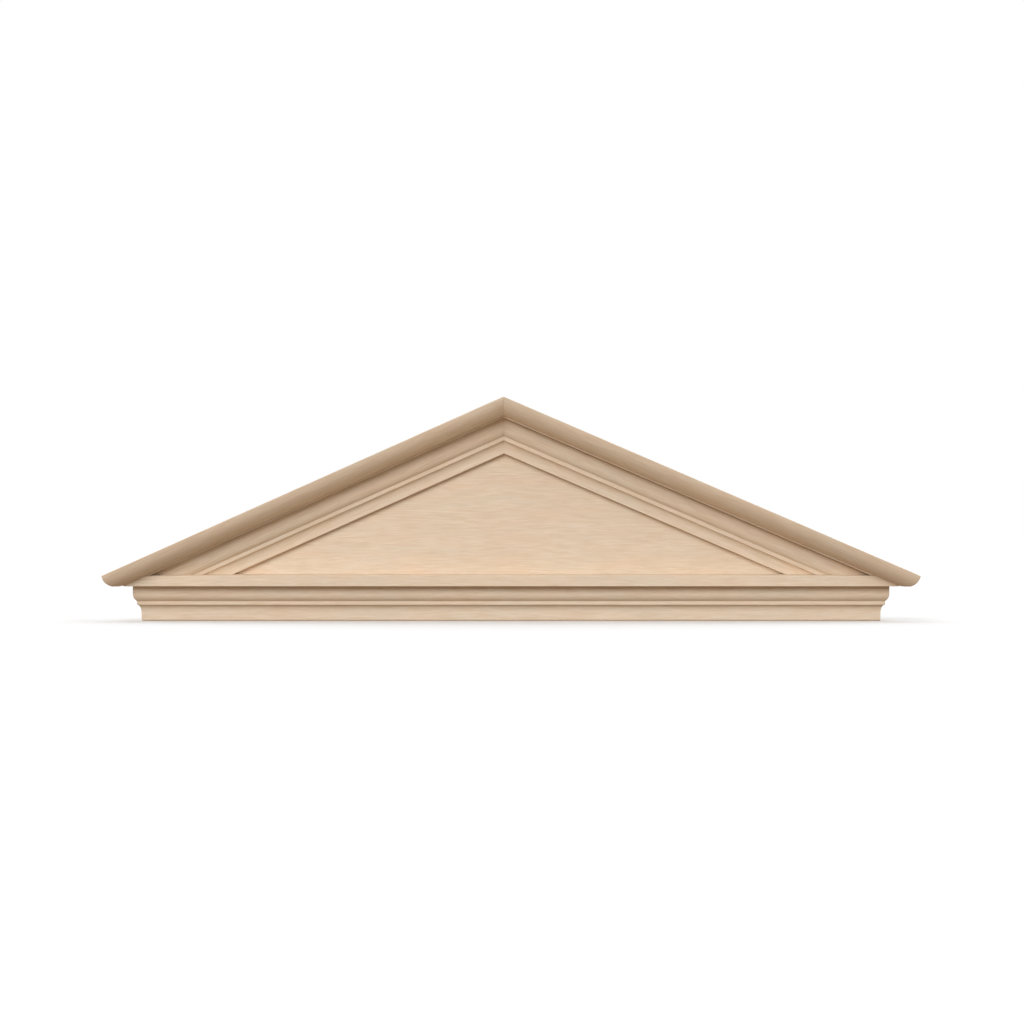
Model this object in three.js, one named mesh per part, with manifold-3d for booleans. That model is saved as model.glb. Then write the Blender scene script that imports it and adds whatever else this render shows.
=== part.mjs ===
// A triangular door pediment in clear hardwood, in millimetres, +Z up.
// +X is the viewer's right, the front faces -Y and the flat back lies against the wall at +Y.
// The origin is the middle of the bounding box's underside.
import * as THREE from "three";
import { mergeVertices } from "three/addons/utils/BufferGeometryUtils.js";
import Module from "manifold-3d";

// The whole pediment
const footWidth = 1124; // across the foot of the bed moulding, end to end
const footDepth = 34.4; // from the wall to the front of that foot
const peakRise = 270.5; // from the crown's outer tips up to the peak
const peakOffset = -11.4; // the peak stands this far to the left of the middle

// The bed moulding, from its foot up, the same knives on the front, the returns and the rakes
const lowerFaceHeight = 13; // plain face at the foot, on the front
const rakingLowerFaceHeight = 6.7; // the same face where the moulding runs up the rakes
const coveDrop = 11.5;
const coveReach = 6.4;
const filletHeight = 5.8;
const ovoloDrop = 10.8;
const ovoloReach = 5.9;
const fasciaHeight = 11.8; // plain face under the corona
const rakingFasciaHeight = 14.8; // plain face under the raking boards

// The boards
const coronaThickness = 16.3; // at its front edge
const coronaWash = 3.3; // how far the corona's top falls from the wall to that edge, to shed water
const coronaOverhang = 12.9; // how far the corona stands out beyond the fascia
const rakingBoardThickness = 28.4; // square to the slope
const tympanumRecess = 7.5; // how far the panel lies behind the moulding's plain lower face

// The crown
const crownProjection = 30.4;
const crownHeight = 25.6; // square to the slope
const crownNoseLean = 12; // degrees from square at its upper edge

// Joints and facets
const jointGap = 0.3;
const arcHalfSteps = 12; // half the number of facets along each curved part of a moulding
const mergeDistance = 1e-3;

// Places worked out from those sizes
const filletOut = footDepth + coveReach; // each "out" is a distance from the wall
const fasciaOut = filletOut + ovoloReach;
const coronaOut = fasciaOut + coronaOverhang;
const crownOut = coronaOut + crownProjection;
const tympanumThickness = footDepth - tympanumRecess;
const wallY = crownOut / 2;
const halfSpan = footWidth / 2 + crownOut - footDepth; // to the crown's outer tips
const coronaHalf = halfSpan - crownProjection;
const curvedHeight = coveDrop + filletHeight + ovoloDrop;
const coronaBottom = lowerFaceHeight + curvedHeight + fasciaHeight;
const coronaTop = coronaBottom + coronaThickness;
const peakHeight = coronaTop + peakRise;
const rakingBedHeight = rakingLowerFaceHeight + curvedHeight + rakingFasciaHeight;

// The two sides
const left = -1;
const right = 1;
const sideNames = new Map([[left, "left"], [right, "right"]]);

const wasm = await Module();
wasm.setup();

// The slope of one rake, in radians. The two differ, because the peak is off the middle.
function slope(side) {
  return Math.atan(peakRise / (halfSpan - side * peakOffset));
}

const halfRidge = (slope(left) + slope(right)) / 2;
const ridgeLean = (slope(right) - slope(left)) / 2;
// The line down which everything on the two rakes meets, halfway between their directions
const ridgeLine = new THREE.Vector3(Math.sin(ridgeLean), 0, Math.cos(ridgeLean));

// A closed geometry as a solid that can be cut
function toSolid(geometry) {
  geometry.deleteAttribute("normal");
  geometry.deleteAttribute("uv");
  const merged = mergeVertices(geometry, mergeDistance);
  return new wasm.Manifold(
    new wasm.Mesh({
      numProp: 3,
      vertProperties: merged.attributes.position.array,
      triVerts: new Uint32Array(merged.index.array),
    }),
  );
}

// A cut solid as a geometry, with its faces flat
function toGeometry(solid) {
  const mesh = solid.getMesh();
  const merged = new THREE.BufferGeometry();
  merged.setAttribute("position", new THREE.BufferAttribute(mesh.vertProperties, 3));
  merged.setIndex(new THREE.BufferAttribute(mesh.triVerts, 1));
  const geometry = merged.toNonIndexed();
  geometry.computeVertexNormals();
  return geometry;
}

// A saw cut: the plane through a point, with the waste on the side its normal points to.
// The piece stops short of it by the clearance.
function sawCut(normal, point, clearance) {
  const plane = new THREE.Plane();
  plane.setFromNormalAndCoplanarPoint(normal.clone().normalize(), point);
  plane.constant += clearance;
  return plane;
}

// Takes off the waste beyond one saw cut
function saw(solid, plane) {
  const size = 4 * halfSpan;
  const waste = new THREE.BoxGeometry(size, size, size);
  waste.translate(0, 0, size / 2);
  waste.lookAt(plane.normal);
  const foot = plane.coplanarPoint(new THREE.Vector3());
  waste.translate(foot.x, foot.y, foot.z);
  return solid.subtract(toSolid(waste));
}

// A bar of a section, along X. The section's x is the distance out from the wall, towards -Y,
// and its y is the height.
function bar(section, from, to) {
  const geometry = new THREE.ExtrudeGeometry(section, {
    depth: to - from,
    steps: 1,
    bevelEnabled: false,
    curveSegments: arcHalfSteps,
  });
  const towardsFront = new THREE.Vector3(0, -1, 0);
  const upwards = new THREE.Vector3(0, 0, 1);
  const backAlongX = new THREE.Vector3(-1, 0, 0);
  geometry.applyMatrix4(new THREE.Matrix4().makeBasis(towardsFront, upwards, backAlongX));
  geometry.translate(to, 0, 0);
  return toSolid(geometry);
}

// Cuts a bar to its planes, which are given in the whole pediment's frame, and adds it to a group
function addPiece(group, name, solid, cuts, material) {
  group.updateMatrixWorld(true);
  const intoGroup = group.matrixWorld.clone().invert();
  const inGroup = cuts.map((plane) => plane.clone().applyMatrix4(intoGroup));
  const mesh = new THREE.Mesh(toGeometry(inGroup.reduce(saw, solid)), material);
  mesh.name = name;
  group.add(mesh);
}

// Clear, sanded and unfinished maple, a little lighter or darker from board to board
function maple(color) {
  return new THREE.MeshStandardMaterial({ color, roughness: 0.62, metalness: 0 });
}

// The section of the bed moulding: plain lower face, cove, fillet, ovolo and fascia
function bedSection(back, bottom, lowerHeight, top) {
  const coveFoot = bottom + lowerHeight;
  const filletFoot = coveFoot + coveDrop;
  const filletTop = filletFoot + filletHeight;
  const fasciaFoot = filletTop + ovoloDrop;
  const radius = (ovoloReach ** 2 + ovoloDrop ** 2) / (2 * ovoloReach);
  const sweep = Math.atan2(ovoloDrop, radius - ovoloReach);
  const section = new THREE.Shape();
  section.moveTo(back, bottom);
  section.lineTo(footDepth, bottom);
  section.lineTo(footDepth, coveFoot);
  section.absellipse(filletOut, coveFoot, coveReach, coveDrop, Math.PI, Math.PI / 2, true);
  section.lineTo(filletOut, filletTop);
  section.absarc(fasciaOut - radius, fasciaFoot, radius, -sweep, 0, false);
  section.lineTo(fasciaOut, top);
  section.lineTo(back, top);
  section.closePath();
  return section;
}

// The section of a plain board, whose top may fall towards the front
function boardSection(back, front, bottom, top, wash = 0) {
  const section = new THREE.Shape();
  section.moveTo(back, bottom);
  section.lineTo(front, bottom);
  section.lineTo(front, top);
  section.lineTo(back, top + wash);
  section.closePath();
  return section;
}

// The section of the crown, its top edge at height 0: one arc that starts leaning by the nose's
// angle and ends almost flat against the board behind it
function crownSection() {
  const back = coronaOut + jointGap;
  const depth = crownOut - back;
  const lean = THREE.MathUtils.degToRad(crownNoseLean);
  const radius =
    (depth ** 2 + crownHeight ** 2) / (2 * (depth * Math.cos(lean) - crownHeight * Math.sin(lean)));
  const centreOut = crownOut - radius * Math.cos(lean);
  const centreHeight = radius * Math.sin(lean);
  const endAngle = Math.atan2(-crownHeight - centreHeight, back - centreOut);
  const section = new THREE.Shape();
  section.moveTo(back, 0);
  section.lineTo(crownOut, 0);
  section.absarc(centreOut, centreHeight, radius, -lean, endAngle, true);
  section.closePath();
  return section;
}

// The section that a return needs to meet the raking crown at a corner that is mitred at 45
// degrees in plan: each line of the crown reaches the mitre at its own height
function crownReturnSection(side) {
  const points = crownSection().getPoints(arcHalfSteps);
  const steepness = Math.tan(slope(side));
  const lengthening = 1 / Math.cos(slope(side));
  return new THREE.Shape(
    points.map(
      (point) =>
        new THREE.Vector2(
          point.x,
          coronaTop + (crownOut - point.x) * steepness + point.y * lengthening,
        ),
    ),
  );
}

// The saw cuts, in the whole pediment's frame
function cornerMitre(side, wasteOutside) {
  const normal = new THREE.Vector3(side, 1, 0).multiplyScalar(wasteOutside ? 1 : -1);
  return sawCut(normal, new THREE.Vector3(side * halfSpan, -wallY, 0), jointGap / 2);
}

function ridgeMitre(side) {
  const normal = new THREE.Vector3(ridgeLine.z, 0, -ridgeLine.x).multiplyScalar(-side);
  return sawCut(normal, new THREE.Vector3(peakOffset, 0, peakHeight), jointGap / 2);
}

// What stands on the corona is cut to its falling top
function coronaSeat() {
  const normal = new THREE.Vector3(0, coronaWash, -coronaOut);
  return sawCut(normal, new THREE.Vector3(0, wallY - coronaOut, coronaTop), jointGap);
}

// The crown ends level with the corona's underside
function crownFoot() {
  return sawCut(new THREE.Vector3(0, 0, -1), new THREE.Vector3(0, 0, coronaBottom), 0);
}

function plumbEnd(side) {
  return sawCut(new THREE.Vector3(side, 0, 0), new THREE.Vector3(side * coronaHalf, 0, 0), 0);
}

// Everything along the front: the bed moulding and the corona
function addFront(pediment) {
  const front = new THREE.Group();
  front.position.y = wallY;
  pediment.add(front);
  const bed = bedSection(0, 0, lowerFaceHeight, coronaBottom - jointGap);
  addPiece(
    front,
    "bed_mould_front",
    bar(bed, -halfSpan, halfSpan),
    [cornerMitre(left, true), cornerMitre(right, true)],
    maple(0xdec4a5),
  );
  const corona = boardSection(0, coronaOut, coronaBottom, coronaTop, coronaWash);
  addPiece(front, "corona_board", bar(corona, -coronaHalf, coronaHalf), [], maple(0xe0c9ac));
}

// The returns along one end, in a group turned so that its bars face outwards
function addReturns(pediment, side) {
  const end = new THREE.Group();
  end.position.set(side * (halfSpan - crownOut), wallY, 0);
  end.rotation.z = side * (Math.PI / 2);
  pediment.add(end);
  const from = side === right ? -crownOut : 0;
  const to = from + crownOut;
  const bed = bedSection(0, 0, lowerFaceHeight, coronaBottom - jointGap);
  addPiece(
    end,
    "bed_return_" + sideNames.get(side),
    bar(bed, from, to),
    [cornerMitre(side, false)],
    maple(0xd9bfa1),
  );
  addPiece(
    end,
    "crown_return_" + sideNames.get(side),
    bar(crownReturnSection(side), from, to),
    [cornerMitre(side, false), crownFoot()],
    maple(0xdcc2a4),
  );
}

// Everything on one rake, in a group tilted to its slope with its origin at the peak
function addRake(pediment, side) {
  const rake = new THREE.Group();
  rake.position.set(peakOffset, wallY, peakHeight);
  rake.rotation.y = side * slope(side);
  pediment.add(rake);
  const length = peakRise / Math.sin(slope(side)) + crownOut; // and a spare end for the saw
  const from = side === right ? 0 : -length;
  const to = from + length;
  const soffit = -rakingBoardThickness;
  const bedTop = soffit - jointGap;
  const bedBottom = soffit - rakingBedHeight;
  const board = boardSection(0, coronaOut, soffit, 0);
  const bed = bedSection(tympanumThickness + jointGap, bedBottom, rakingLowerFaceHeight, bedTop);
  addPiece(
    rake,
    "raking_board_" + sideNames.get(side),
    bar(board, from, to),
    [ridgeMitre(side), coronaSeat(), plumbEnd(side)],
    maple(0xdcc3a6),
  );
  addPiece(
    rake,
    "raking_bed_" + sideNames.get(side),
    bar(bed, from, to),
    [ridgeMitre(side), coronaSeat()],
    maple(0xdec4a5),
  );
  addPiece(
    rake,
    "crown_" + sideNames.get(side),
    bar(crownSection(), from, to),
    [ridgeMitre(side), cornerMitre(side, true), crownFoot()],
    maple(0xdcc2a4),
  );
}

// The flat triangle that fills the space between the corona and the raking boards
function addTympanum(pediment) {
  const drop = rakingBoardThickness + jointGap; // square to each slope
  const corner = (side) => {
    const inward = drop / Math.sin(slope(side));
    return new THREE.Vector2(side * (halfSpan - inward), coronaTop);
  };
  const apexDrop = drop / Math.cos(halfRidge);
  const apex = new THREE.Vector2(
    peakOffset - apexDrop * ridgeLine.x,
    peakHeight - apexDrop * ridgeLine.z,
  );
  const outline = new THREE.Shape([corner(left), corner(right), apex]);
  const panel = new THREE.ExtrudeGeometry(outline, {
    depth: tympanumThickness,
    steps: 1,
    bevelEnabled: false,
  });
  panel.rotateX(Math.PI / 2);
  panel.translate(0, wallY, 0);
  addPiece(pediment, "tympanum_panel", toSolid(panel), [coronaSeat()], maple(0xe2cbae));
}

const pediment = new THREE.Group();
addFront(pediment);
addTympanum(pediment);
for (const side of [left, right]) {
  addReturns(pediment, side);
  addRake(pediment, side);
}

export default pediment;
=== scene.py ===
import math

import bmesh
import bpy
from mathutils import Matrix, Vector


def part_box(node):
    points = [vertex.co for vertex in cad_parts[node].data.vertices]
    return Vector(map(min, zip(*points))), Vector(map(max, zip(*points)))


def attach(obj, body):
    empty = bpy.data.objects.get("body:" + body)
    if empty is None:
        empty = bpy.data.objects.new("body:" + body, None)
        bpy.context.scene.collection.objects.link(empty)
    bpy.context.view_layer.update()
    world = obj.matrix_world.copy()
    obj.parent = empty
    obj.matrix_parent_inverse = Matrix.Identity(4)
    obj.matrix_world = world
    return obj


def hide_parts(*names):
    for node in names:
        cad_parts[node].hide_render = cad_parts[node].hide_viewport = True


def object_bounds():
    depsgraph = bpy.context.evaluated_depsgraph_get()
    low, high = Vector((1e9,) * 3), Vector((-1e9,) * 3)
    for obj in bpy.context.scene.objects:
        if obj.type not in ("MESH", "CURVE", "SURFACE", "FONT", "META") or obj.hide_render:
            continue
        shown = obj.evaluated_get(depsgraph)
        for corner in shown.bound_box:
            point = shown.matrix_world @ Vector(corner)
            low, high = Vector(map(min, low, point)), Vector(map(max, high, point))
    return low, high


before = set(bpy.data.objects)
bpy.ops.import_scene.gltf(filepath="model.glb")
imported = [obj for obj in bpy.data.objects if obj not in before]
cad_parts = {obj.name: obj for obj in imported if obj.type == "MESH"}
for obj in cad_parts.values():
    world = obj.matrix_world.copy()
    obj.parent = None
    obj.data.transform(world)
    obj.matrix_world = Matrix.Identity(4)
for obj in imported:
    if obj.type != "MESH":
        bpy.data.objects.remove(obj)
cad_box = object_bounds()
print("frame box, m:", [tuple(round(c, 4) for c in corner) for corner in cad_box])

# %% [markdown]
# ## Sizes
# The places of the pieces are read from the frame, so they can't drift from it. Distances out from
# the wall are called "out", because that is how a joiner sets out a moulding: the wall is the face
# side and every member has its own projection. The two rakes don't have quite the same slope,
# because the peak stands a little left of the middle.
# %% Read the places from the frame
MM = 0.001
LEFT, RIGHT = -1, 1
SIDE_NAMES = {LEFT: "left", RIGHT: "right"}


def top_of(node):
    """The highest point of a CAD node."""
    return max((v.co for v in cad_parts[node].data.vertices), key=lambda co: co.z).copy()


def front_height_of(node):
    """The height of a CAD node's front edge."""
    places = [v.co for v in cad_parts[node].data.vertices]
    front = min(place.y for place in places)
    return max(place.z for place in places if place.y < front + MM)


wall = cad_box[1].y
crown_out = wall - cad_box[0].y
half_span = cad_box[1].x
corona_low, corona_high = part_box("corona_board")
corona_out = wall - corona_low.y
corona_half = corona_high.x
corona_bottom, corona_top = corona_low.z, front_height_of("corona_board")
corona_wash = corona_high.z - corona_top
fascia_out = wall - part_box("bed_mould_front")[0].y
panel_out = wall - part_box("tympanum_panel")[0].y

left_top, right_top = top_of("crown_left"), top_of("crown_right")
peak_x = (left_top.x + right_top.x) / 2
cad_gap = right_top.x - left_top.x
peak_z = (left_top.z + right_top.z) / 2
peak_z += (peak_z - corona_top) * cad_gap / 2 / half_span
peak = Vector((peak_x, wall, peak_z))


def slope(side):
    """The slope of one rake, in radians."""
    return math.atan((peak.z - corona_top) / (half_span - side * peak.x))


for side in (LEFT, RIGHT):
    print(SIDE_NAMES[side], "rake:", round(math.degrees(slope(side)), 2), "degrees")
print("peak at", round(peak.x / MM, 2), round(peak.z / MM, 2), "mm")

# %% [markdown]
# ## Members of the mouldings
# The bed moulding is one pattern, run once and used on the front, the returns and the rakes: plain
# lower face, cove, fillet, ovolo and fascia. The crown is one big ovolo. These sizes in millimetres
# are the knives' own, so they are named here. Sharp corners in wood never stay sharp: sanding eases
# them, and a thin line of light along each arris is what makes a moulding look real.
# %% Name the moulding sizes
lower_face_height = 13 * MM
raking_lower_face_height = 6.7 * MM
cove_drop, cove_reach = 11.5 * MM, 6.4 * MM
fillet_height = 5.8 * MM
ovolo_drop, ovolo_reach = 10.8 * MM, 5.9 * MM
raking_fascia_height = 14.8 * MM
raking_board_thickness = 28.4 * MM
crown_height = 25.6 * MM
crown_nose_lean = math.radians(12)
joint = 0.2 * MM
arris = 0.7 * MM
foot_bevel = 1.6 * MM
ARC_STEPS = 20
EASE_STEPS = 4
SHARP_CORNER = math.radians(25)

fillet_out = fascia_out - ovolo_reach
lower_face_out = fillet_out - cove_reach
raking_bed_height = (
    raking_lower_face_height + cove_drop + fillet_height + ovolo_drop + raking_fascia_height
)
print("members out from the wall, mm:", [
    round(out / MM, 1)
    for out in (panel_out, lower_face_out, fillet_out, fascia_out, corona_out, crown_out)
])

# %% [markdown]
# ## Sections
# A section is a closed outline of points (out, up). Its straight parts need only their corners. The
# cove is a quarter of an ellipse and the ovolos are arcs of circles, so a formula draws them. The
# easing works on any outline: it cuts each sharp corner a little before and after its point and
# bridges the cut with a small curve.
# %% Draw the sections
def arc(centre, radii, start, end):
    """Points along an arc of an ellipse, from one angle to another."""
    angles = [start + (end - start) * i / ARC_STEPS for i in range(ARC_STEPS + 1)]
    return [
        Vector((centre[0] + radii[0] * math.cos(a), centre[1] + radii[1] * math.sin(a)))
        for a in angles
    ]


def walk(outline, corner, step, distance):
    """The point that lies a distance along an outline from a corner, and the last index passed."""
    here, index = outline[corner], corner
    while True:
        following = (index + step) % len(outline)
        length = (outline[following] - here).length
        if length >= distance:
            return here.lerp(outline[following], distance / length), index
        distance -= length
        here, index = outline[following], following


def ease(outline, reach):
    """The outline with every sharp corner rounded over this reach on both sides of it."""
    count = len(outline)
    turns = [
        (outline[i] - outline[i - 1]).angle(outline[(i + 1) % count] - outline[i])
        for i in range(count)
    ]
    corners = [i for i in range(count) if turns[i] > SHARP_CORNER]
    passed = set(corners)
    bridges = {}
    for i in corners:
        before, last = walk(outline, i, -1, reach)
        after, first = walk(outline, i, 1, reach)
        passed.update(k % count for k in range(last if last <= i else last - count, i))
        passed.update(k % count for k in range(i, first + 1 if first >= i else first + count + 1))
        ts = [k / EASE_STEPS for k in range(EASE_STEPS + 1)]
        bridges[i] = [
            before.lerp(outline[i], t).lerp(outline[i].lerp(after, t), t) for t in ts
        ]
    eased = []
    for i in range(count):
        if i in bridges:
            eased += bridges[i]
        elif i not in passed:
            eased.append(outline[i])
    return eased


def bed_section(back, bottom, lower_height, top, foot_ease=0):
    """The bed moulding's section, from the wall side round its face. Its foot may be bevelled."""
    cove_foot = bottom + lower_height
    fillet_top = cove_foot + cove_drop + fillet_height
    fascia_foot = fillet_top + ovolo_drop
    radius = (ovolo_reach**2 + ovolo_drop**2) / (2 * ovolo_reach)
    sweep = math.atan2(ovolo_drop, radius - ovolo_reach)
    cove = arc((fillet_out, cove_foot), (cove_reach, cove_drop), math.pi, math.pi / 2)
    ovolo = arc((fascia_out - radius, fascia_foot), (radius, radius), -sweep, 0)
    corners = [Vector((back, bottom)), Vector((lower_face_out - foot_ease, bottom))]
    if foot_ease:
        corners.append(Vector((lower_face_out, bottom + foot_ease)))
    return ease(
        corners + cove + ovolo + [Vector((fascia_out, top)), Vector((back, top))], arris
    )


def board_section(back, front, bottom, top, wash=0):
    """A plain board's section, whose top may fall towards the front."""
    points = ((back, bottom), (front, bottom), (front, top), (back, top + wash))
    return ease([Vector(point) for point in points], arris)


def crown_outline():
    """The crown's section with its top edge at height 0, its corners still sharp."""
    back = corona_out + joint
    depth = crown_out - back
    cos_lean, sin_lean = math.cos(crown_nose_lean), math.sin(crown_nose_lean)
    radius = (depth**2 + crown_height**2) / (2 * (depth * cos_lean - crown_height * sin_lean))
    centre = (crown_out - radius * cos_lean, radius * sin_lean)
    end = math.atan2(-crown_height - centre[1], back - centre[0])
    return [Vector((back, 0))] + arc(centre, (radius, radius), -crown_nose_lean, end)


def return_outline(side):
    """The section that meets the raking crown at a corner mitred at 45 degrees in plan."""
    rise, stretch = math.tan(slope(side)), 1 / math.cos(slope(side))
    return [
        Vector((point.x, corona_top + (crown_out - point.x) * rise + point.y * stretch))
        for point in crown_outline()
    ]


bed = bed_section(0, 0, lower_face_height, corona_bottom - joint, foot_bevel)
bed_wedge = bed_section(joint, 0, lower_face_height, corona_bottom - joint, foot_bevel)
soffit = -raking_board_thickness
raking_bed = bed_section(
    panel_out + joint, soffit - raking_bed_height, raking_lower_face_height, soffit - joint
)
print("points in the sections:", len(bed), len(raking_bed), len(crown_outline()))

# %% [markdown]
# ## A run of moulding in Geometry Nodes
# Every length of moulding follows one rule: a section swept along a line between two saw cuts. The
# line is one metre of the X axis cut into equal steps. After the sweep a point's X is only its
# share of the way, from 0 to 1, and its Y and Z are its place in the section. Each saw cut is a
# plane, so the X where the saw meets a point is a + b * out + c * up, and one dot product gives it.
# %% One small function that adds a node
def add_node(tree, kind, inputs=None, **settings):
    """Adds a node. An input is a value, a socket, or a node, whose first output is then used."""
    node = tree.nodes.new(kind)
    for name, value in settings.items():
        setattr(node, name, value)
    for key, value in (inputs or {}).items():
        socket = node.inputs[key] if isinstance(key, int) else next(
            s for s in node.inputs if s.enabled and s.name == key
        )
        if isinstance(value, bpy.types.Node):
            value = next(s for s in value.outputs if s.enabled)
        if isinstance(value, bpy.types.NodeSocket):
            tree.links.new(value, socket)
        else:
            socket.default_value = value
    return node


# %% Build the run
def build_run_tree():
    """The node tree that sweeps a section between two saw cuts."""
    tree = bpy.data.node_groups.new("moulding run", "GeometryNodeTree")
    for name, kind in (
        ("Section", "NodeSocketGeometry"),
        ("Start Cut", "NodeSocketVector"),
        ("End Cut", "NodeSocketVector"),
        ("Steps", "NodeSocketInt"),
        ("Wood", "NodeSocketMaterial"),
    ):
        tree.interface.new_socket(name, in_out="INPUT", socket_type=kind)
    tree.interface.new_socket("Piece", in_out="OUTPUT", socket_type="NodeSocketGeometry")
    given = add_node(tree, "NodeGroupInput").outputs
    outline = add_node(tree, "GeometryNodeMeshToCurve", {"Mesh": given["Section"]})
    line = add_node(tree, "GeometryNodeCurvePrimitiveLine", {"End": (1, 0, 0)})
    path = add_node(tree, "GeometryNodeResampleCurve", {"Curve": line, "Count": given["Steps"]})
    swept = add_node(
        tree,
        "GeometryNodeCurveToMesh",
        {"Curve": path, "Profile Curve": outline, "Fill Caps": True},
    )
    place = add_node(tree, "ShaderNodeSeparateXYZ", {0: add_node(tree, "GeometryNodeInputPosition")})
    out = add_node(tree, "ShaderNodeMath", {0: place.outputs["Y"], 1: -1.0}, operation="MULTIPLY")
    one_out_up = add_node(
        tree, "ShaderNodeCombineXYZ", {"X": 1.0, "Y": out, "Z": place.outputs["Z"]}
    )
    start, end = (
        add_node(
            tree, "ShaderNodeVectorMath", {0: given[cut], 1: one_out_up}, operation="DOT_PRODUCT"
        )
        for cut in ("Start Cut", "End Cut")
    )
    along = add_node(
        tree,
        "ShaderNodeMapRange",
        {"Value": place.outputs["X"], "To Min": start, "To Max": end},
        clamp=False,
    )
    target = add_node(
        tree,
        "ShaderNodeCombineXYZ",
        {"X": along, "Y": place.outputs["Y"], "Z": place.outputs["Z"]},
    )
    moved = add_node(tree, "GeometryNodeSetPosition", {"Geometry": swept, "Position": target})
    real = add_node(tree, "GeometryNodeRealizeInstances", {"Geometry": moved})
    wooden = add_node(
        tree, "GeometryNodeSetMaterial", {"Geometry": real, "Material": given["Wood"]}
    )
    add_node(tree, "NodeGroupOutput", {"Piece": wooden})
    return tree


RUN_TREE = build_run_tree()
RUN_INPUTS = {
    item.name: item.identifier
    for item in RUN_TREE.interface.items_tree
    if item.in_out == "INPUT"
}
print("inputs of a run:", list(RUN_INPUTS))

# %% [markdown]
# ## Frames and saw cuts
# Each moulding is set out in its own frame, lying along X with its face to -Y, as it lies on the
# bench: the front runs as it is, a return turns a quarter round Z, and a rake tilts about Y at the
# peak. The saw cuts belong to the whole pediment, so they are planes in its frame, and a small
# function turns a plane into the numbers a, b and c that the run needs.
# %% Frames of the front, the ends and the rakes
def front_frame():
    return Matrix.Translation((0, wall, 0))


def end_frame(side):
    corner = Matrix.Translation((side * (half_span - crown_out), wall, 0))
    return corner @ Matrix.Rotation(side * math.pi / 2, 4, "Z")


def rake_frame(side):
    return Matrix.Translation(peak) @ Matrix.Rotation(side * slope(side), 4, "Y")


# %% The saw cuts
ridge_lean = (slope(RIGHT) - slope(LEFT)) / 2
half_ridge = (slope(RIGHT) + slope(LEFT)) / 2


def cut(point, normal, clearance):
    """A saw cut through a point. The waste is where the normal points."""
    normal = Vector(normal).normalized()
    return Vector(point) - normal * clearance, normal


def corner_mitre(side, waste_outside):
    facing = 1 if waste_outside else -1
    point = (side * half_span, wall - crown_out, 0)
    return cut(point, (side * facing, facing, 0), joint / 2)


def ridge_mitre(side):
    return cut(peak, (-side * math.cos(ridge_lean), 0, side * math.sin(ridge_lean)), joint / 2)


def corona_seat():
    return cut((0, wall - corona_out, corona_top), (0, corona_wash, -corona_out), joint)


def crown_foot():
    return cut((0, 0, corona_bottom), (0, 0, -1), 0)


def plumb_end(side):
    return cut((side * corona_half, 0, 0), (side, 0, 0), 0)


def wall_cut():
    return cut((0, wall, 0), (0, 1, 0), 0)


def as_cut_numbers(frame_matrix, plane):
    """A saw cut as the a, b and c of x = a + b * out + c * up in a moulding's own frame."""
    point, normal = plane
    turned = frame_matrix.to_3x3().transposed() @ normal
    offset = normal.dot(point - frame_matrix.translation)
    return Vector((offset, turned.y, -turned.z)) / turned.x


# %% [markdown]
# ## Maple
# The wood is hard maple, planed and sanded but not finished: closed, even and very pale, with a
# faint figure. Its yearly rings are a solid pattern, cylinders about the pith wherever the cut
# runs, so faces show lines or flames and cut ends show arcs, and nothing has to be unwrapped. What
# the eye sees first is softer: short flecks a few centimetres long, where a ray or a fibre comes to
# the surface, and broad patches that lean a little to cream or to pink. The grain never runs quite
# straight, so all of them waver together. Bare sanded wood is matt, so the roughness is high, and
# the IOR is that of wood fibre, about 1.5. Each piece comes from its own place in the log, and its
# grain follows its length. Real rays are half a millimetre thick at most, too fine to show here,
# so the flecks are drawn 2.4 mm thick.
# %% Colours and scales of the maple
def srgb(code):
    """A hex colour as linear RGBA."""
    channels = [int(code[i : i + 2], 16) / 255 for i in (0, 2, 4)]
    return [c / 12.92 if c <= 0.04045 else ((c + 0.055) / 1.055) ** 2.4 for c in channels] + [1]


PALE_WOOD = srgb("EEDCC5")
WARM_WOOD = srgb("E9D2BA")
COOL_WOOD = srgb("E4D5C0")
LATE_WOOD = srgb("D4B592")
FLECK_WOOD = srgb("D7BD9D")
END_WOOD = srgb("CDAA84")
RING_WIDTH = 3.4 * MM
FLECK_LENGTH, FLECK_WIDTH = 30 * MM, 2.4 * MM
PATCH_LENGTH, PATCH_WIDTH = 110 * MM, 26 * MM
GRAIN_WANDER = 16 * MM
WOOD_ROUGHNESS = 0.62
FLECK_DEPTH = 0.03 * MM


def grain_noise(tree, grain, along, across, detail):
    """A noise drawn out along the grain: the length and width of its features in metres."""
    scale = (1 / along, 1 / across, 1 / across)
    stretched = add_node(tree, "ShaderNodeVectorMath", {0: grain, 1: scale}, operation="MULTIPLY")
    return add_node(
        tree,
        "ShaderNodeTexNoise",
        {"Vector": stretched, "Scale": 1.0, "Detail": detail, "Roughness": 0.55},
    )


def wavering(tree, straight):
    """The grain's coordinates with a slow sideways drift, so that no line runs dead straight."""
    drift = grain_noise(tree, straight, 0.22, 0.09, 1)
    sideways = (0, GRAIN_WANDER, GRAIN_WANDER)
    return add_node(
        tree,
        "ShaderNodeVectorMath",
        {0: drift.outputs["Color"], 1: sideways, 2: straight},
        operation="MULTIPLY_ADD",
    )


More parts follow.
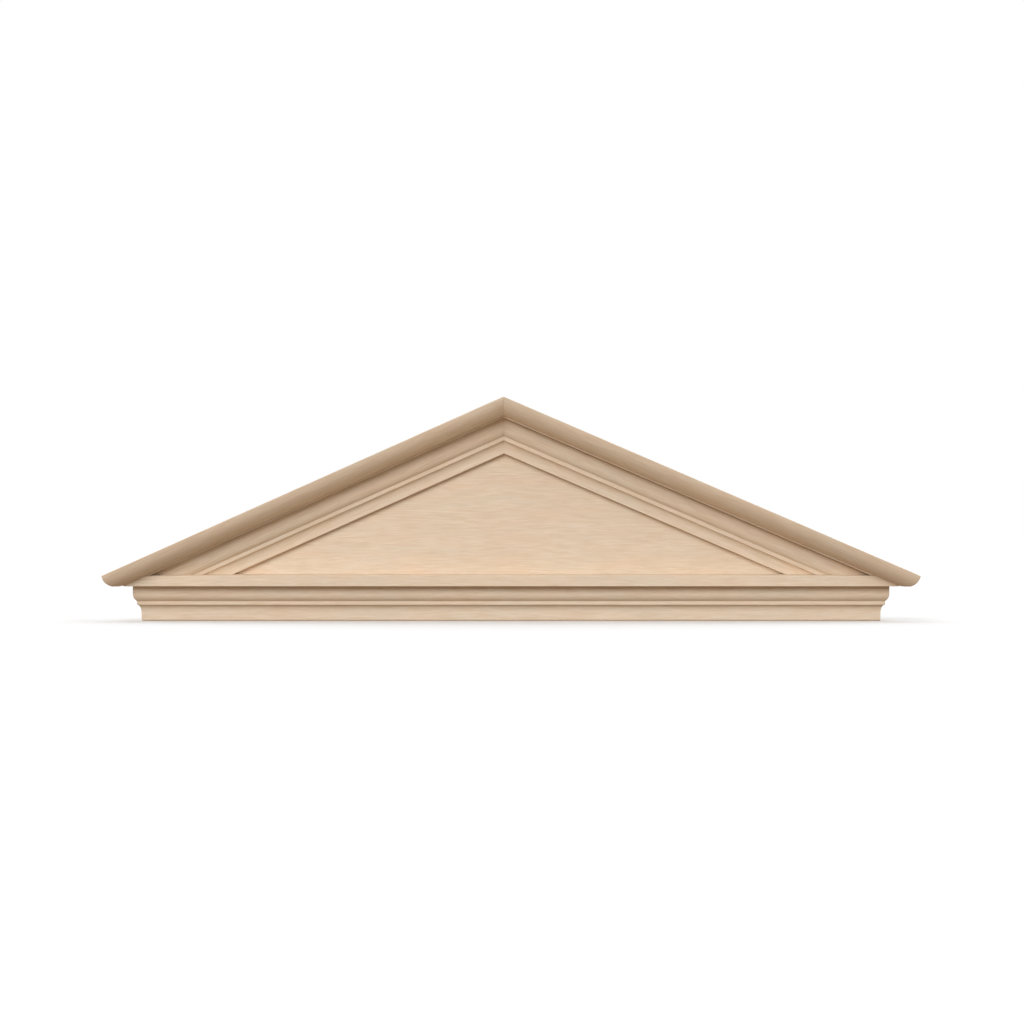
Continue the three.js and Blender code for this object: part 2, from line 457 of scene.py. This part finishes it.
def late_wood(tree, grain):
    """The thin darker line that ends each year, fading in and out over the board."""
    flat = add_node(tree, "ShaderNodeVectorMath", {0: grain, 1: (0, 1, 1)}, operation="MULTIPLY")
    radius = add_node(tree, "ShaderNodeVectorMath", {0: flat}, operation="LENGTH")
    wander = grain_noise(tree, grain, 0.45, 0.07, 2)
    drifted = add_node(
        tree, "ShaderNodeMath", {0: wander, 1: 30 * MM, 2: radius}, operation="MULTIPLY_ADD"
    )
    years = add_node(tree, "ShaderNodeMath", {0: drifted, 1: RING_WIDTH}, operation="DIVIDE")
    season = add_node(tree, "ShaderNodeMath", {0: years}, operation="FRACT")
    rise = add_node(
        tree,
        "ShaderNodeMapRange",
        {"Value": season, "From Min": 0.3, "From Max": 0.85},
        interpolation_type="SMOOTHSTEP",
    )
    figure = grain_noise(tree, grain, 0.3, 0.05, 2)
    strength = add_node(
        tree,
        "ShaderNodeMapRange",
        {"Value": figure, "From Min": 0.4, "From Max": 0.7, "To Min": 0.02, "To Max": 0.3},
    )
    fall = add_node(
        tree,
        "ShaderNodeMapRange",
        {"Value": season, "From Min": 0.85, "From Max": 1.0, "To Min": 1.0, "To Max": 0.0},
        interpolation_type="SMOOTHSTEP",
    )
    line = add_node(tree, "ShaderNodeMath", {0: rise, 1: fall}, operation="MULTIPLY")
    return add_node(tree, "ShaderNodeMath", {0: line, 1: strength}, operation="MULTIPLY")


# %% Build one maple
def maple(name, turn=(0, 0, 0), pith=(0, 0.06, 0.11), shade=1.0):
    """Sanded maple whose grain lies along X after this turn, cut this far from the pith."""
    material = bpy.data.materials.new(name)
    material.use_nodes = True
    tree = material.node_tree
    tree.nodes.clear()
    coordinates = add_node(tree, "ShaderNodeTexCoord")
    straight = add_node(
        tree,
        "ShaderNodeMapping",
        {"Vector": coordinates.outputs["Object"], "Rotation": turn, "Location": pith},
    )
    grain = wavering(tree, straight)
    patches = grain_noise(tree, grain, PATCH_LENGTH, PATCH_WIDTH, 2)
    warmth = add_node(
        tree, "ShaderNodeMapRange", {"Value": patches, "From Min": 0.35, "From Max": 0.65}
    )
    colour = add_node(
        tree, "ShaderNodeMix", {"Factor": warmth, "A": COOL_WOOD, "B": WARM_WOOD}, data_type="RGBA"
    )
    streaks = grain_noise(tree, grain, 0.07, 8 * MM, 2)
    paleness = add_node(
        tree,
        "ShaderNodeMapRange",
        {"Value": streaks, "From Min": 0.4, "From Max": 0.75, "To Max": 0.7},
    )
    colour = add_node(
        tree, "ShaderNodeMix", {"Factor": paleness, "A": colour, "B": PALE_WOOD}, data_type="RGBA"
    )
    late = late_wood(tree, grain)
    colour = add_node(
        tree, "ShaderNodeMix", {"Factor": late, "A": colour, "B": LATE_WOOD}, data_type="RGBA"
    )
    flecks = grain_noise(tree, grain, FLECK_LENGTH, FLECK_WIDTH, 2)
    depth = add_node(
        tree,
        "ShaderNodeMapRange",
        {"Value": flecks, "From Min": 0.35, "From Max": 0.75, "To Max": 0.6},
    )
    colour = add_node(
        tree, "ShaderNodeMix", {"Factor": depth, "A": colour, "B": FLECK_WOOD}, data_type="RGBA"
    )
    facing = add_node(
        tree,
        "ShaderNodeMapping",
        {"Vector": coordinates.outputs["Normal"], "Rotation": turn},
        vector_type="VECTOR",
    )
    end_on = add_node(
        tree,
        "ShaderNodeMath",
        {0: add_node(tree, "ShaderNodeSeparateXYZ", {0: facing}).outputs["X"]},
        operation="ABSOLUTE",
    )
    end_share = add_node(
        tree,
        "ShaderNodeMapRange",
        {"Value": end_on, "From Min": 0.6, "From Max": 0.95, "To Max": 0.75},
    )
    colour = add_node(
        tree, "ShaderNodeMix", {"Factor": end_share, "A": colour, "B": END_WOOD}, data_type="RGBA"
    )
    toned = add_node(
        tree,
        "ShaderNodeVectorMath",
        {0: colour, 1: (shade, shade, shade)},
        operation="MULTIPLY",
    )
    bump = add_node(
        tree,
        "ShaderNodeBump",
        {"Strength": 0.6, "Distance": FLECK_DEPTH, "Height": flecks},
        invert=True,
    )
    surface = add_node(
        tree,
        "ShaderNodeBsdfPrincipled",
        {"Base Color": toned, "Roughness": WOOD_ROUGHNESS, "IOR": 1.5, "Normal": bump},
    )
    add_node(tree, "ShaderNodeOutputMaterial", {"Surface": surface})
    return material


# %% [markdown]
# ## Making a piece
# A piece is its section as a bare outline of edges, turned solid by the run. The evaluated result
# becomes a plain mesh and the modifier goes. Then the mesh is carried from the bench into its
# place, any second cut is sawn, and the normals are made to face outwards. Edges flatter than the
# smooth angle are shaded round, and weighted normals keep the wide faces flat.
# %% Run, trim and finish one piece
SMOOTH_ANGLE = math.radians(32)
RUN_STEPS = 9


def swept(name, section, frame_matrix, start, end, wood):
    """An object whose mesh is the section swept between two saw cuts, still on the bench."""
    count = len(section)
    mesh = bpy.data.meshes.new(name)
    edges = [(i, (i + 1) % count) for i in range(count)]
    mesh.from_pydata([(point.x, -point.y, 0) for point in section], edges, [])
    piece = bpy.data.objects.new(name, mesh)
    bpy.context.scene.collection.objects.link(piece)
    modifier = piece.modifiers.new("moulding run", "NODES")
    modifier.node_group = RUN_TREE
    modifier[RUN_INPUTS["Start Cut"]] = as_cut_numbers(frame_matrix, start)
    modifier[RUN_INPUTS["End Cut"]] = as_cut_numbers(frame_matrix, end)
    modifier[RUN_INPUTS["Steps"]] = RUN_STEPS
    modifier[RUN_INPUTS["Wood"]] = wood
    graph = bpy.context.evaluated_depsgraph_get()
    made = bpy.data.meshes.new_from_object(piece.evaluated_get(graph), depsgraph=graph)
    piece.modifiers.remove(modifier)
    piece.data = made
    bpy.data.meshes.remove(mesh)
    made.name = name
    return piece


def saw(shape, plane):
    """Takes off what lies beyond a saw cut and closes the cut."""
    point, normal = plane
    parts = shape.verts[:] + shape.edges[:] + shape.faces[:]
    result = bmesh.ops.bisect_plane(
        shape, geom=parts, dist=1e-7, plane_co=point, plane_no=normal, clear_outer=True
    )
    rim = [item for item in result["geom_cut"] if isinstance(item, bmesh.types.BMEdge)]
    bmesh.ops.holes_fill(shape, edges=rim)


def finish_piece(piece, node, frame_matrix=None, trims=()):
    """Sets a piece in its place for its CAD node."""
    shape = bmesh.new()
    shape.from_mesh(piece.data)
    if frame_matrix:
        bmesh.ops.transform(shape, matrix=frame_matrix, verts=shape.verts)
    for plane in trims:
        saw(shape, plane)
    bmesh.ops.recalc_face_normals(shape, faces=shape.faces)
    open_edges = sum(1 for edge in shape.edges if not edge.is_manifold)
    volume = shape.calc_volume()
    shape.to_mesh(piece.data)
    shape.free()
    piece.data.shade_smooth()
    piece.data.set_sharp_from_angle(angle=SMOOTH_ANGLE)
    weighted = piece.modifiers.new("flat faces stay flat", "WEIGHTED_NORMAL")
    weighted.keep_sharp = True
    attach(piece, "root")
    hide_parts(node)
    print(node, "faces", len(piece.data.polygons), "open edges", open_edges,
          "volume cm3", round(volume * 1e6, 1))


def add_run(node, slot, section, frame_matrix, start, end, wood, trims=()):
    piece = swept(node + "_finish", section, frame_matrix, start, end, wood)
    finish_piece(piece, node, frame_matrix, trims)


# %% [markdown]
# ## The front
# The bed moulding runs the whole front and is mitred at both ends. The corona is a plain planed
# board on top of it. Its square edge is the broad light band across the middle of the pediment.
# %% Bed moulding and corona
add_run(
    "bed_mould_front", "maple_bed_mould", bed, front_frame(),
    corner_mitre(LEFT, True), corner_mitre(RIGHT, True),
    maple("bed_mould_maple", pith=(0.3, 0.07, 0.05)),
)
add_run(
    "corona_board", "maple_board",
    board_section(0, corona_out, corona_bottom, corona_top, corona_wash),
    front_frame(), plumb_end(LEFT), plumb_end(RIGHT),
    maple("corona_maple", pith=(1.9, 0.02, 0.19)),
)

# %% [markdown]
# ## The ends
# A return carries a moulding round the corner and back to the wall. The bed moulding's returns are
# short mitred wedges of the same section, which starts a joint's width out, because a wedge has no
# thickness at its very tip. The crown's return can't be of the crown's section: the raking crown
# arrives at the corner tilted, so the return's own section is drawn to meet it line for line.
# %% Returns at both ends
END_GRAIN = {side: (0, 0, -side * math.pi / 2) for side in (LEFT, RIGHT)}
for side in (LEFT, RIGHT):
    name = SIDE_NAMES[side]
    ends = [corner_mitre(side, False), wall_cut()]
    if side == LEFT:
        ends.reverse()
    add_run(
        "bed_return_" + name, "maple_bed_mould", bed_wedge, end_frame(side), *ends,
        maple("bed_return_maple_" + name, END_GRAIN[side], (0.7, 0.09, 0.06)),
    )
    add_run(
        "crown_return_" + name, "maple_crown", ease(return_outline(side), arris),
        end_frame(side), *ends,
        maple("crown_return_maple_" + name, END_GRAIN[side], (0.2, 0.05, 0.12)),
        trims=[crown_foot()],
    )

# %% [markdown]
# ## The rakes
# Each rake has three lengths: the board, the bed moulding planted on the panel under it, and the
# crown on its front edge. All three are mitred on the line that halves the angle at the peak. At
# the foot the board and its bed moulding are sawn level to sit on the corona, and the crown is
# mitred into its return.
# %% Boards, bed mouldings and crowns on the rakes
for side in (LEFT, RIGHT):
    name = SIDE_NAMES[side]
    place = rake_frame(side)
    turn = (0, -side * slope(side), 0)
    for node, slot, section, foot, trims, pith in (
        (
            "raking_board_", "maple_board", board_section(0, corona_out, soffit, 0),
            plumb_end(side), [corona_seat()], (0.9, 0.03, 0.16),
        ),
        (
            "raking_bed_", "maple_bed_mould", raking_bed, corona_seat(), [], (1.3, 0.08, 0.07),
        ),
        (
            "crown_", "maple_crown", ease(crown_outline(), arris),
            corner_mitre(side, True), [crown_foot()], (0.4, 0.05, 0.13),
        ),
    ):
        ends = [foot, ridge_mitre(side)]
        if side == RIGHT:
            ends.reverse()
        own_pith = (pith[0] * side, pith[1], pith[2])
        add_run(
            node + name, slot, section, place, *ends,
            maple(node + "maple_" + name, turn, own_pith), trims,
        )

# %% [markdown]
# ## The panel
# The tympanum is one flat triangle with level grain, standing on the corona under the raking
# boards. Its edges are all covered, so it is simply its outline with a thickness, and its beauty is
# in the wood.
# %% Tympanum
def panel_piece(wood):
    """The panel's triangle, still down to the height of the corona's front edge."""
    drop = raking_board_thickness + joint
    apex = peak - Vector((math.sin(ridge_lean), 0, math.cos(ridge_lean))) * (
        drop / math.cos(half_ridge)
    )
    feet = [side * (half_span - drop / math.sin(slope(side))) for side in (LEFT, RIGHT)]
    outline = [(feet[0], corona_top), (feet[1], corona_top), (apex.x, apex.z)]
    mesh = bpy.data.meshes.new("tympanum_panel_finish")
    front = [(x, wall - panel_out, z) for x, z in outline]
    back = [(x, wall, z) for x, z in outline]
    sides = [(i, (i + 1) % 3, (i + 1) % 3 + 3, i + 3) for i in range(3)]
    mesh.from_pydata(front + back, [], [(2, 1, 0), (3, 4, 5)] + sides)
    mesh.materials.append(wood)
    piece = bpy.data.objects.new("tympanum_panel_finish", mesh)
    bpy.context.scene.collection.objects.link(piece)
    return piece


finish_piece(
    panel_piece(maple("panel_maple", pith=(2.6, 0.05, 0.16))), "tympanum_panel",
    trims=[corona_seat()],
)

# %% [markdown]
# ## Floor, light and camera
# The setting is a bare pale floor in a white studio. A broad soft lamp stands in front on the left,
# a third of the way up, and a weaker one on the right, so every member shades the one below it and
# the shadows stay soft. A bright white wall behind lights the floor, which is why the pediment's
# own soft shadow falls forwards. Little light comes from below, and the floor is kept out of the
# soft bounces, so that undersides and coves stay dark. The camera sees plain white all round. It
# stands almost six metres back with a long lens, level with the middle of the pediment.
# %% Floor
def add_floor(size=40.0):
    mesh = bpy.data.meshes.new("floor")
    half = size / 2
    mesh.from_pydata(
        [(-half, -half, 0), (half, -half, 0), (half, half, 0), (-half, half, 0)],
        [], [(0, 1, 2, 3)],
    )
    floor = bpy.data.objects.new("floor", mesh)
    bpy.context.scene.collection.objects.link(floor)
    paper = bpy.data.materials.new("white_floor")
    paper.use_nodes = True
    paper.node_tree.nodes.clear()
    matt = add_node(paper.node_tree, "ShaderNodeBsdfDiffuse", {"Color": srgb("EDEDED")})
    add_node(paper.node_tree, "ShaderNodeOutputMaterial", {"Surface": matt})
    mesh.materials.append(paper)
    floor.visible_diffuse = False
    floor.visible_glossy = False
    return floor


add_floor()


# %% Sky and lamps
def add_sky(in_front, behind, below):
    """A studio's soft light by direction. The camera itself sees plain white round the pediment."""
    world = bpy.data.worlds.new("soft white studio")
    bpy.context.scene.world = world
    world.use_nodes = True
    tree = world.node_tree
    tree.nodes.clear()
    direction = add_node(tree, "ShaderNodeTexCoord")
    split = add_node(tree, "ShaderNodeSeparateXYZ", {0: direction.outputs["Generated"]})
    above = add_node(
        tree,
        "ShaderNodeMapRange",
        {
            "Value": split.outputs["Y"], "From Min": -0.1, "From Max": 0.1,
            "To Min": in_front, "To Max": behind,
        },
    )
    strength = add_node(
        tree,
        "ShaderNodeMapRange",
        {
            "Value": split.outputs["Z"], "From Min": -0.02, "From Max": 0.02,
            "To Min": below, "To Max": above,
        },
    )
    tint = add_node(
        tree,
        "ShaderNodeMix",
        {
            "Factor": add_node(
                tree, "ShaderNodeMath", {0: split.outputs["Z"], 1: 0.0}, operation="LESS_THAN"
            ),
            "A": (1, 1, 1, 1), "B": srgb("FFE4C8"),
        },
        data_type="RGBA",
    )
    light = add_node(tree, "ShaderNodeBackground", {"Color": tint, "Strength": strength})
    backdrop = add_node(tree, "ShaderNodeBackground", {"Color": (1, 1, 1, 1), "Strength": 1.0})
    seen = add_node(tree, "ShaderNodeLightPath").outputs["Is Camera Ray"]
    either = add_node(tree, "ShaderNodeMixShader", {0: seen, 1: light, 2: backdrop})
    add_node(tree, "ShaderNodeOutputWorld", {"Surface": either})


def add_lamp(name, azimuth, elevation, spread, strength):
    """A far soft light. Azimuth 0 is straight in front, and positive to the viewer's right."""
    data = bpy.data.lights.new(name, "SUN")
    data.energy = strength
    data.angle = math.radians(spread)
    lamp = bpy.data.objects.new(name, data)
    az, el = math.radians(azimuth), math.radians(elevation)
    towards = Vector((math.sin(az) * math.cos(el), -math.cos(az) * math.cos(el), math.sin(el)))
    lamp.rotation_euler = towards.to_track_quat("Z", "Y").to_euler()
    bpy.context.scene.collection.objects.link(lamp)
    return lamp


LAMP_SPREAD = 40
add_sky(in_front=0.0, behind=1.4, below=0.36)
add_lamp("key", -20, 30, LAMP_SPREAD, 2.14)
add_lamp("fill", 50, 35, LAMP_SPREAD, 0.95)
add_lamp("far left fill", -50, 35, LAMP_SPREAD, 0.12)

# %% Camera
VIEW_WIDTH = 1551 * MM
CAMERA_DISTANCE = 5.816
SENSOR = 36.0


def add_camera():
    data = bpy.data.cameras.new("camera")
    data.sensor_width = SENSOR
    data.lens = SENSOR * CAMERA_DISTANCE / VIEW_WIDTH
    camera = bpy.data.objects.new("camera", data)
    camera.location = (1.44 * MM, wall - corona_out - CAMERA_DISTANCE, 165.6 * MM)
    camera.rotation_euler = (math.pi / 2, 0, 0)
    bpy.context.scene.collection.objects.link(camera)
    bpy.context.scene.camera = camera
    print("lens, mm:", round(data.lens, 1))


add_camera()
bpy.context.scene.view_settings.view_transform = "Standard"
